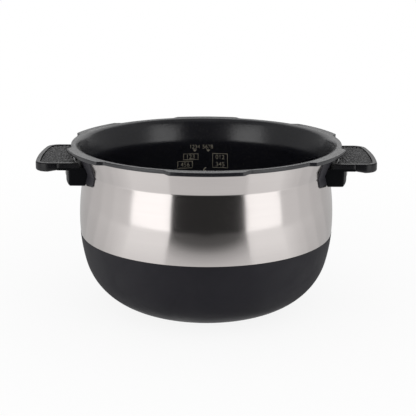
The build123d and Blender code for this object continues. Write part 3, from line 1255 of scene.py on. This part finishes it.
class Grip:
    """One side grip: saddle on the waist, block and tongue, cover with a raised border, soft pad."""

    def __init__(
        self, side: Side, wall: Wall, book: FinishBook, nodes: dict[str, bpy.types.Object]
    ) -> None:
        """Takes the grip's places from the boxes of the right one's nodes.

        Args:
            side: Which grip.
            wall: The bowl's wall.
            book: Where finishes come from.
            nodes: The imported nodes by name.
        """
        self.side = side
        self.wall = wall
        self.book = book
        self.nodes = nodes
        self.sizes = GripSizes()
        cover_low, cover_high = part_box("grip_cover_right")
        pad_low, pad_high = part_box("grip_pad_right")
        saddle_low, saddle_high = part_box("saddle_right")
        self.end = cover_high.x
        self.half_width = cover_high.y
        self.top = cover_high.z
        self.skirt_bottom = cover_low.z
        self.tongue_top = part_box("grip_base_right")[1].z
        self.tongue_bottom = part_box("cover_screws_right")[0].z
        self.pad_bottom = pad_low.z
        self.pad_top = pad_high.z
        self.seat_radius = math.hypot(cover_low.x, self.half_width)
        self.saddle_bottom = saddle_low.z
        self.saddle_top = saddle_high.z
        self.saddle_depth = saddle_high.x - float(wall.radius_at(np.array(saddle_high.z), 0.0))
        end_radius, corner = self.sizes.end_radius, self.sizes.corner_radius
        self.end_centre = self.end - end_radius
        self.corner_y = self.half_width - corner
        self.corner_x = self.end_centre + math.sqrt((end_radius - corner) ** 2 - self.corner_y**2)
        self.corner_turn = math.atan2(self.corner_y, self.corner_x - self.end_centre)
        self.skirt_start = self.end - self.sizes.skirt_length

    def plan(self, inset: np.ndarray, inner: np.ndarray) -> tuple[np.ndarray, np.ndarray]:
        """Draws the grip's plan as closed loops, each set in by its own amount.

        Two straight sides, two corner arcs, the bowed end and the arc towards the pot; setting in
        moves the sides, makes the outer arcs smaller and the arc towards the pot larger.

        Args:
            inset: Amount at the sides and the end, one for each loop.
            inner: Amount towards the pot, one for each loop.

        Returns:
            X and Y of loops by points, and which points lie on the sides or the inner arc before the
            skirt starts.
        """
        near_points, far_points, corner_points, end_points, fan_points = 10, 8, 14, 40, 48
        inset, inner = inset[:, None], inner[:, None]
        half = self.half_width - inset
        seat = self.seat_radius + inner
        corner = self.sizes.corner_radius - inset
        bow = self.sizes.end_radius - inset
        start = np.sqrt(seat**2 - half**2)
        run_in = np.linspace(0.0, 1.0, near_points)[None]
        run_out = np.linspace(0.0, 1.0, far_points)[None]
        groove = self.sizes.seam_groove
        near_x = start + run_in * (self.skirt_start - groove - start)
        seam_x = self.skirt_start + 0.0 * inset
        far_x = seam_x + groove + run_out * (self.corner_x - self.skirt_start - groove)
        side_x = np.concatenate((near_x, seam_x, far_x), axis=1)
        side_y = np.repeat(half, side_x.shape[1], axis=1)
        side_y[:, near_points] -= groove
        turn = np.linspace(self.corner_turn, math.pi / 2.0, corner_points)[None]
        corner_x = self.corner_x + corner * np.cos(turn)
        corner_y = self.corner_y + corner * np.sin(turn)
        sweep = np.linspace(-self.corner_turn, self.corner_turn, end_points)[None]
        end_x = self.end_centre + bow * np.cos(sweep)
        end_y = bow * np.sin(sweep)
        fan = np.arcsin(half / seat) * np.linspace(1.0, -1.0, fan_points)[None]
        x = np.concatenate(
            (side_x, corner_x[:, ::-1], end_x, corner_x, side_x[:, ::-1], seat * np.cos(fan)), axis=1
        )
        y = np.concatenate(
            (-side_y, -corner_y[:, ::-1], end_y, corner_y, side_y[:, ::-1], seat * np.sin(fan)), axis=1
        )
        bare_side = np.arange(side_x.shape[1]) < near_points
        outer = np.zeros(corner_points * 2 + end_points, bool)
        bare = np.concatenate((bare_side, outer, bare_side[::-1], np.ones(fan_points, bool)))
        return np.stack((x, y), axis=-1), bare

    def settle(self, name: str, right: Patch, finish: Finish, slot: str, node: str) -> bpy.types.Object:
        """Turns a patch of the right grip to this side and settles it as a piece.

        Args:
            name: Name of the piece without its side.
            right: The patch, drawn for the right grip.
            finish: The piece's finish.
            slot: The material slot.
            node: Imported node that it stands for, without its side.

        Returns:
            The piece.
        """
        label = self.side.label
        patch = Patch(self.side.turned(right.points), right.faces)
        return self.book.settle(make_piece(f"{name}_{label}", patch), finish, slot, f"{node}_{label}")

    def cover(self) -> bpy.types.Object:
        """Makes the cover: loops from the pad's recess over the border and down round the skirt.

        Before the skirt starts, the loops below the tongue's top are raised to it and the side is set
        in by the seam's step. The skirt's lower edge sinks steadily from the tongue to the corners.

        Returns:
            The piece.
        """
        s = self.sizes
        lip_points, edge_points = 6, 10
        lip_centre = (s.border_width - s.lip_round, self.top - s.lip_round)
        lip = arc(lip_centre, s.lip_round, 0.0, 90.0, lip_points)
        shoulder = arc((s.top_round, self.top - s.top_round), s.top_round, 90.0, 180.0, edge_points)
        foot_centre = (s.bottom_round, self.skirt_bottom + s.bottom_round)
        foot = arc(foot_centre, s.bottom_round, 180.0, 270.0, edge_points)
        recess = (s.border_width, self.pad_bottom - s.seam_step)
        side_line = (0.0, self.tongue_top)
        inside = ((s.skirt_width, self.skirt_bottom), (s.skirt_width, self.tongue_top))
        section = np.vstack((recess, lip, shoulder, side_line, foot, inside))
        inset, level = section[:, 0], section[:, 1]
        inner = inset * (s.inner_border_width / s.border_width)
        flat, bare = self.plan(inset, inner)
        stepped, _ = self.plan(np.maximum(inset, s.seam_step), inner)
        flat = np.where(bare[None, :, None], stepped, flat)
        share = np.clip((flat[..., 0] - self.skirt_start) / (self.corner_x - self.skirt_start), 0.0, 1.0)
        low = np.clip((self.tongue_top - level) / (self.tongue_top - self.skirt_bottom), 0.0, 1.0)
        lift = (self.tongue_bottom - self.skirt_bottom) * (1.0 - share) * low[:, None]
        height = np.where(bare[None, :], np.maximum(level, self.tongue_top)[:, None], level[:, None] + lift)
        patch = Patch.from_loops(np.concatenate((flat, height[..., None]), axis=-1))
        return self.settle("cover", patch, COVER_PLASTIC, "cover_plastic", "grip_cover")

    def pad(self) -> bpy.types.Object:
        """Makes the pad: a sheet between the inner arc and the bowed end, with pebbles raised on it.

        One parameter runs across the grip, the other from the inner arc to the end; the height is the
        pad's top less the pebbles' grooves and the rounding of the edge.

        Returns:
            The piece.
        """
        s = self.sizes
        wide_points, long_points = 230, 96
        inset = s.border_width + s.pad_gap
        half = self.half_width - inset
        corner = s.corner_radius - inset
        across = np.linspace(-1.0, 1.0, wide_points)
        # A cubic that brings the points closer together towards both ends
        y = half * (1.5 * across - 0.5 * across**3)
        inner = self.seat_radius + s.inner_border_width + s.pad_gap
        start = np.sqrt(inner**2 - y**2)
        past = np.clip(np.abs(y) - self.corner_y, 0.0, corner)
        rounded = self.corner_x + np.sqrt(corner**2 - past**2)
        bowed = self.end_centre + np.sqrt((s.end_radius - inset) ** 2 - y**2)
        at_corner = np.abs(y) > self.corner_y + corner * math.sin(self.corner_turn)
        end = np.where(at_corner, rounded, bowed)
        x = start[:, None] + np.linspace(0.0, 1.0, long_points)[None] * (end - start)[:, None]
        wide = np.broadcast_to(y[:, None], x.shape)
        places = np.stack((x, wide), axis=-1)
        pebbles = cell_pattern(places.reshape(-1, 2), s.pebble_size, s.pebble_seed).reshape(x.shape)
        margin = np.minimum(np.minimum(x - start[:, None], end[:, None] - x), half - np.abs(wide))
        height = self.pad_top - s.pebble_height * (1.0 - pebbles) - edge_drop(margin, s.pad_round)
        sheet = np.concatenate((places, height[..., None]), axis=-1)
        sheet = np.pad(sheet, ((1, 1), (1, 1), (0, 0)), mode="edge")
        sheet[[0, -1], :, 2] = self.pad_bottom
        sheet[:, [0, -1], 2] = self.pad_bottom
        patch = Patch.from_grid(sheet)
        rows, columns = sheet.shape[:2]
        number = np.arange(rows * columns).reshape(rows, columns)
        ring = np.concatenate((number[0, :-1], number[:-1, -1], number[-1, :0:-1], number[:0:-1, 0]))
        patch.faces.append(ring[None])
        return self.settle("pad", patch, PAD_RUBBER, "pad_rubber", "grip_pad")

    def saddle(self) -> bpy.types.Object:
        """Makes the saddle: an even layer on the wall, carried round the waist.

        The outer face is the wall's line moved out by the layer's depth. Towards each end the lower
        side rises by the corner's round, and near every edge the outer face draws in by the edge's
        round. Above the waist the layer widens by its lean for each metre of height.

        Returns:
            The piece.
        """
        s = self.sizes
        half = math.radians(s.saddle_span / 2.0)
        coarse_share, span_points, rise_points = 0.9, 25, 44
        coarse = np.linspace(0.0, coarse_share, span_points)
        share = np.append(coarse, np.linspace(coarse_share, 1.0, span_points + 1)[1:])
        turn = half * np.concatenate((-share[::-1], share[1:]))
        to_end = self.wall.waist_radius * (half - np.abs(turn))
        bottom = self.saddle_bottom + edge_drop(to_end, s.saddle_corner)
        rise = (1.0 - np.cos(np.linspace(0.0, math.pi, rise_points))) / 2.0
        z = bottom[:, None] + rise * (self.saddle_top - bottom)[:, None]
        wall_r = self.wall.radius_at(z, 0.0) + WELD_DISTANCE
        margin = np.minimum(np.minimum(z - bottom[:, None], self.saddle_top - z), to_end[:, None])
        face_r = wall_r + self.saddle_depth - edge_drop(margin, s.saddle_round)
        r = np.concatenate((wall_r, face_r[:, ::-1]), axis=1)
        z = np.concatenate((z, z[:, ::-1]), axis=1)
        lean = 1.0 + s.saddle_lean * np.clip(z - self.wall.waist_height, 0.0, None)
        spread = turn[:, None] * lean
        loops = np.stack((r * np.cos(spread), r * np.sin(spread), z), axis=-1)
        patch = Patch.from_loops(loops)
        return self.settle("saddle_rest", patch, SADDLE_PLASTIC, "saddle_plastic", "saddle")

    def build(self) -> None:
        """Makes the parts that show best from new meshes and paints the rest of the grip's nodes."""
        self.saddle()
        self.cover()
        self.pad()
        finishes = {
            "grip_base": GRIP_PLASTIC,
            "grip_screws": PLAIN_STEEL,
            "grip_washers": PLAIN_STEEL,
            "cover_screws": PLAIN_STEEL,
            "weld_bosses": PLAIN_STEEL,
        }
        for node, finish in finishes.items():
            self.book.paint(self.nodes[f"{node}_{self.side.label}"], finish)


# Studio


@dataclass(frozen=True)
class Viewpoint:
    """The camera: its place, how it is turned and its lens."""

    place: tuple[float, float, float] = (0.0, -0.7424, 0.2778)
    pitch: float = -15.38
    turn: float = -0.108
    roll: float = 0.282
    lens: float = 85.18
    sensor: float = 36.0

    def build(self) -> bpy.types.Object:
        """Makes the camera and gives it to the scene.

        Returns:
            The camera.
        """
        data = bpy.data.cameras.new("camera")
        data.lens = self.lens
        data.sensor_width = self.sensor
        camera = bpy.data.objects.new("camera", data)
        bpy.context.scene.collection.objects.link(camera)
        upright = Matrix.Rotation(math.radians(90.0 + self.pitch), 4, "X")
        swing = Matrix.Rotation(math.radians(self.turn), 4, "Z")
        tilt = Matrix.Rotation(math.radians(self.roll), 4, "Z")
        camera.matrix_world = Matrix.Translation(self.place) @ swing @ upright @ tilt
        bpy.context.scene.camera = camera
        return camera


@dataclass(frozen=True)
class Card:
    """A curved card around the pot, seen only in reflections and by the light it gives.

    Azimuths are degrees from the camera's side, positive to the right; the section is radius and
    height; each glow is a distance from the focus and how bright the card is there. The focus lies on
    the pot's axis or a way in front of it.
    """

    name: str
    azimuths: Pair
    section: Pairs
    glow: Pairs
    lights: bool = False
    focus: float = 0.0

    def build(self) -> bpy.types.Object:
        """Makes the card's sheet: its section swept round Z between its azimuths.

        Returns:
            The card.
        """
        turn_points = 25
        turn = np.radians(np.linspace(*self.azimuths, turn_points) - CAMERA_SIDE)
        radius, height = np.array(self.section).T
        card = make_piece(self.name, Patch.swept(radius, height, turn), closed=False)
        card.data.materials.append(self.material())
        card.visible_camera = False
        card.visible_shadow = False
        card.visible_diffuse = self.lights
        card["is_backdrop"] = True
        return card

    def material(self) -> bpy.types.Material:
        """Builds the card's glow, which follows the level distance from the focus.

        Returns:
            The material.
        """
        material, shader = Shader.for_material(self.name)
        parts = shader.add("SeparateXYZ", Vector=shader.add("TexCoord").outputs["Object"])
        ahead = shader.math("ADD", parts.outputs["Y"], self.focus)
        flat = shader.add("CombineXYZ", X=parts.outputs["X"], Y=ahead)
        ramp = shader.add("ValToRGB", Fac=shader.length(flat.outputs["Vector"]))
        elements = ramp.color_ramp.elements
        while len(elements) < len(self.glow):
            elements.new(1.0)
        while len(elements) > len(self.glow):
            elements.remove(elements[-1])
        for element, (place, level) in zip(elements, self.glow):
            element.position = place
            element.color = (level, level, level, 1.0)
        glow = shader.add("Emission", Color=ramp.outputs["Color"], Strength=1.0)
        shader.add("OutputMaterial", Surface=glow.outputs["Emission"])
        return material


def even(level: float) -> Pairs:
    """Gives the glow of a card that is as bright all over."""
    return ((0.5, level),)


@dataclass(frozen=True)
class Studio:
    """The pale floor, the white surroundings, the soft lights and the cards that shape reflections.

    Azimuths are degrees from the camera's side. A side step is where a side card starts and ends, how
    bright it is upright and how bright it is on the table, where the soft lights' spill is painted.
    """

    floor_radius: float = 4.0
    floor_colour: Colour = (0.90, 0.90, 0.90)
    fade: Pair = (0.14, 0.60)
    fade_start: float = 0.88
    world_level: float = 0.90
    dark: float = 0.03
    bright: Pair = (1.58, 1.47)
    upper_level: float = 0.34
    high_level: float = 0.12
    ceiling_level: float = 0.26
    card_radius: float = 0.66
    table_radii: tuple[float, ...] = (0.075, 0.30, 0.45, 0.66)
    table_level: float = 0.002
    dome: Pairs = ((0.45, 1.15), (0.001, 1.2))
    light_top: float = 0.65
    side_top: float = 0.17
    card_top: float = 1.0
    wing_top: float = 0.235
    back_top: float = 0.265
    front: Pair = (-28.5, 32.0)
    light_end: float = 64.0
    upper_end: float = 150.0
    back: Pair = (168.0, 192.0)
    wing_width: float = 16.0
    # A side step's table brightness is the soft lights' painted spill: above the upright level beside the
    # lights and falling away from them.
    side_steps: tuple[tuple[float, float, float, float], ...] = (
        (64.0, 68.0, 0.79, 1.00),
        (68.0, 72.0, 0.79, 0.95),
        (72.0, 76.0, 0.79, 0.90),
        (76.0, 84.0, 0.79, 0.84),
        (84.0, 100.0, 0.72, 0.75),
        (100.0, 118.0, 0.65, 0.65),
        (118.0, 165.0, 0.57, 0.57),
    )
    # Painted light and shade of the table in front, by distance from the focus: dark at the front card's
    # foot, brightest just in front of the pot, then a painted shadow of the pot towards its foot.
    front_fade: Pairs = (
        (0.0, 0.03), (0.11, 0.08), (0.28, 0.115), (0.32, 0.18), (0.357, 0.30), (0.39, 0.45),
        (0.425, 0.56), (0.46, 0.69), (0.50, 0.74), (0.52, 0.70), (0.55, 0.58), (0.58, 0.42),
    )
    # Painted spill of the soft lights on the table, by distance from the pot's axis, darker close to the
    # foot as a painted shadow of the pot.
    light_spill: Pairs = ((0.08, 0.42), (0.11, 0.63), (0.15, 0.8), (0.19, 0.92), (0.28, 1.03), (0.36, 1.08))
    # Shares of a side card's table brightness by distance from the pot's axis: a painted shadow of the pot
    # near its foot.
    side_shade: Pairs = ((0.08, 0.3), (0.12, 0.6), (0.16, 0.8), (0.24, 0.9), (0.5, 1.0))
    side_edge: float = 0.64

    @staticmethod
    def seen(shader: Shader) -> bpy.types.NodeSocket:
        """Gives 1 for the rays that see the surroundings: straight, reflected or passed through.

        Args:
            shader: The shader that asks.

        Returns:
            The mask.
        """
        path = shader.add("LightPath")
        straight = shader.math("MAXIMUM", path.outputs["Is Camera Ray"], path.outputs["Is Glossy Ray"])
        return shader.math("MAXIMUM", straight, path.outputs["Is Transmission Ray"])

    def floor(self) -> bpy.types.Object:
        """Makes the floor disc, which fades to white for the camera away from the pot.

        Returns:
            The floor.
        """
        turn_points = 97
        rings = np.array((0.0, 0.25, 0.5, 1.0, 2.0, self.floor_radius))
        turn = np.radians(np.linspace(0.0, 360.0, turn_points))
        floor = make_piece("floor", Patch.swept(rings, np.zeros(len(rings)), turn), closed=False)
        floor.data.materials.append(self.floor_material())
        floor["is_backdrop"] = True
        return floor

    def floor_material(self) -> bpy.types.Material:
        """Builds the floor: plain matt near the pot, white to the camera further out, clear from below.

        Returns:
            The material.
        """
        material, shader = Shader.for_material("floor")
        distance = shader.length(shader.add("TexCoord").outputs["Object"])
        far = shader.spread(distance, *self.fade, smooth=True)
        far = shader.spread(far, self.fade_start, 1.0)
        matt = shader.add("BsdfDiffuse", Color=(*self.floor_colour, 1.0)).outputs["BSDF"]
        white = shader.add("Emission", Color=(1.0, 1.0, 1.0, 1.0), Strength=1.0).outputs["Emission"]
        top = shader.blend(shader.math("MULTIPLY", far, self.seen(shader)), matt, white)
        clear = shader.add("BsdfTransparent").outputs["BSDF"]
        sided = shader.blend(shader.add("NewGeometry").outputs["Backfacing"], top, clear)
        shader.add("OutputMaterial", Surface=sided)
        return material

    def world(self) -> None:
        """Makes the surroundings: white to camera and reflections, a plain level as light."""
        world = bpy.data.worlds.new("studio")
        world.use_nodes = True
        shader = Shader(world.node_tree)
        light = shader.add("Background", Color=(1.0, 1.0, 1.0, 1.0), Strength=self.world_level)
        white = shader.add("Background", Color=(1.0, 1.0, 1.0, 1.0), Strength=1.0)
        seen = self.seen(shader)
        both = shader.blend(seen, light.outputs["Background"], white.outputs["Background"])
        shader.add("OutputWorld", Surface=both)
        bpy.context.scene.world = world

    def upright(self, bottom: float, top: float) -> Pairs:
        """Gives the section of a card that stands between two heights."""
        return ((self.card_radius, bottom), (self.card_radius, top))

    def cards(self) -> list[Card]:
        """Lists the cards.

        A dark card and a table card lie in front, with a soft light to either side, its painted spill on a
        table card and a dim card over it. The table cards glow with painted light and shade of a table,
        down to a painted shadow of the pot near its foot. The ceiling and the upper sides are dim, the back
        is low and dark, and the sides darken in steps towards it.

        Returns:
            The cards.
        """
        out, floor = self.card_radius, self.table_level
        table = tuple((radius, floor) for radius in self.table_radii)
        ceiling = ((out, self.card_top), *self.dome)
        light = self.upright(floor, self.light_top)
        over_light = self.upright(self.light_top, self.card_top)
        upper = self.upright(self.side_top, self.card_top)
        back, wing = self.upright(floor, self.back_top), self.upright(floor, self.wing_top)
        dark = even(self.dark)
        cards = [
            Card("front_card", self.front, self.upright(floor, self.card_top), dark),
            Card("front_table", self.front, table, self.front_fade, focus=out),
            Card("ceiling_card", (-180.0, 180.0), ceiling, even(self.ceiling_level)),
            Card("back_card", self.back, back, dark),
        ]
        lit = ((-self.light_end, self.front[0]), (self.front[1], self.light_end))
        raised = ((-self.upper_end, -self.light_end), (self.light_end, self.upper_end))
        right_back, left_back = self.back
        wings = ((left_back, left_back + self.wing_width), (right_back - self.wing_width, right_back))
        for number, label in enumerate(("left", "right")):
            cards += [
                Card(f"soft_light_{label}", lit[number], light, even(self.bright[number]), lights=True),
                Card(f"table_{label}", lit[number], table, self.light_spill),
                Card(f"over_light_{label}", lit[number], over_light, even(self.high_level)),
                Card(f"upper_card_{label}", raised[number], upper, even(self.upper_level)),
                Card(f"back_wing_{label}", wings[number], wing, dark),
            ]
        side = (*table, (out, self.side_top))
        for number, (near, far, level, low) in enumerate(self.side_steps):
            shade = tuple((place, share * low) for place, share in self.side_shade)
            shade += ((self.side_edge, level),)
            cards.append(Card(f"side_card_left_{number}", (-far, -near), side, shade))
            cards.append(Card(f"side_card_right_{number}", (near, far), side, shade))
        return cards

    def build(self) -> None:
        """Makes the whole studio and sets how colours are shown."""
        self.floor()
        self.world()
        for card in self.cards():
            card.build()
        Viewpoint().build()
        bpy.context.scene.view_settings.view_transform = "Standard"


def corners(box: tuple) -> list[list[float]]:
    """Gives a box's two corners as plain lists."""
    return [[float(value) for value in corner] for corner in box]


def main() -> None:
    """Builds the pot, its grips and the studio in order."""
    logging.basicConfig(level=logging.INFO, format="%(name)s %(message)s")
    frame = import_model()
    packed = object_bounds()
    book = FinishBook()
    bowl = Bowl(book, frame["nodes"])
    bowl.build()
    WaterScale(bowl.wall, book).build()
    for side in Side:
        Grip(side, bowl.wall, book, frame["nodes"]).build()
    Studio().build()
    {"packed": corners(packed), "dressed": corners(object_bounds())}


if __name__ == "__main__":
    main()
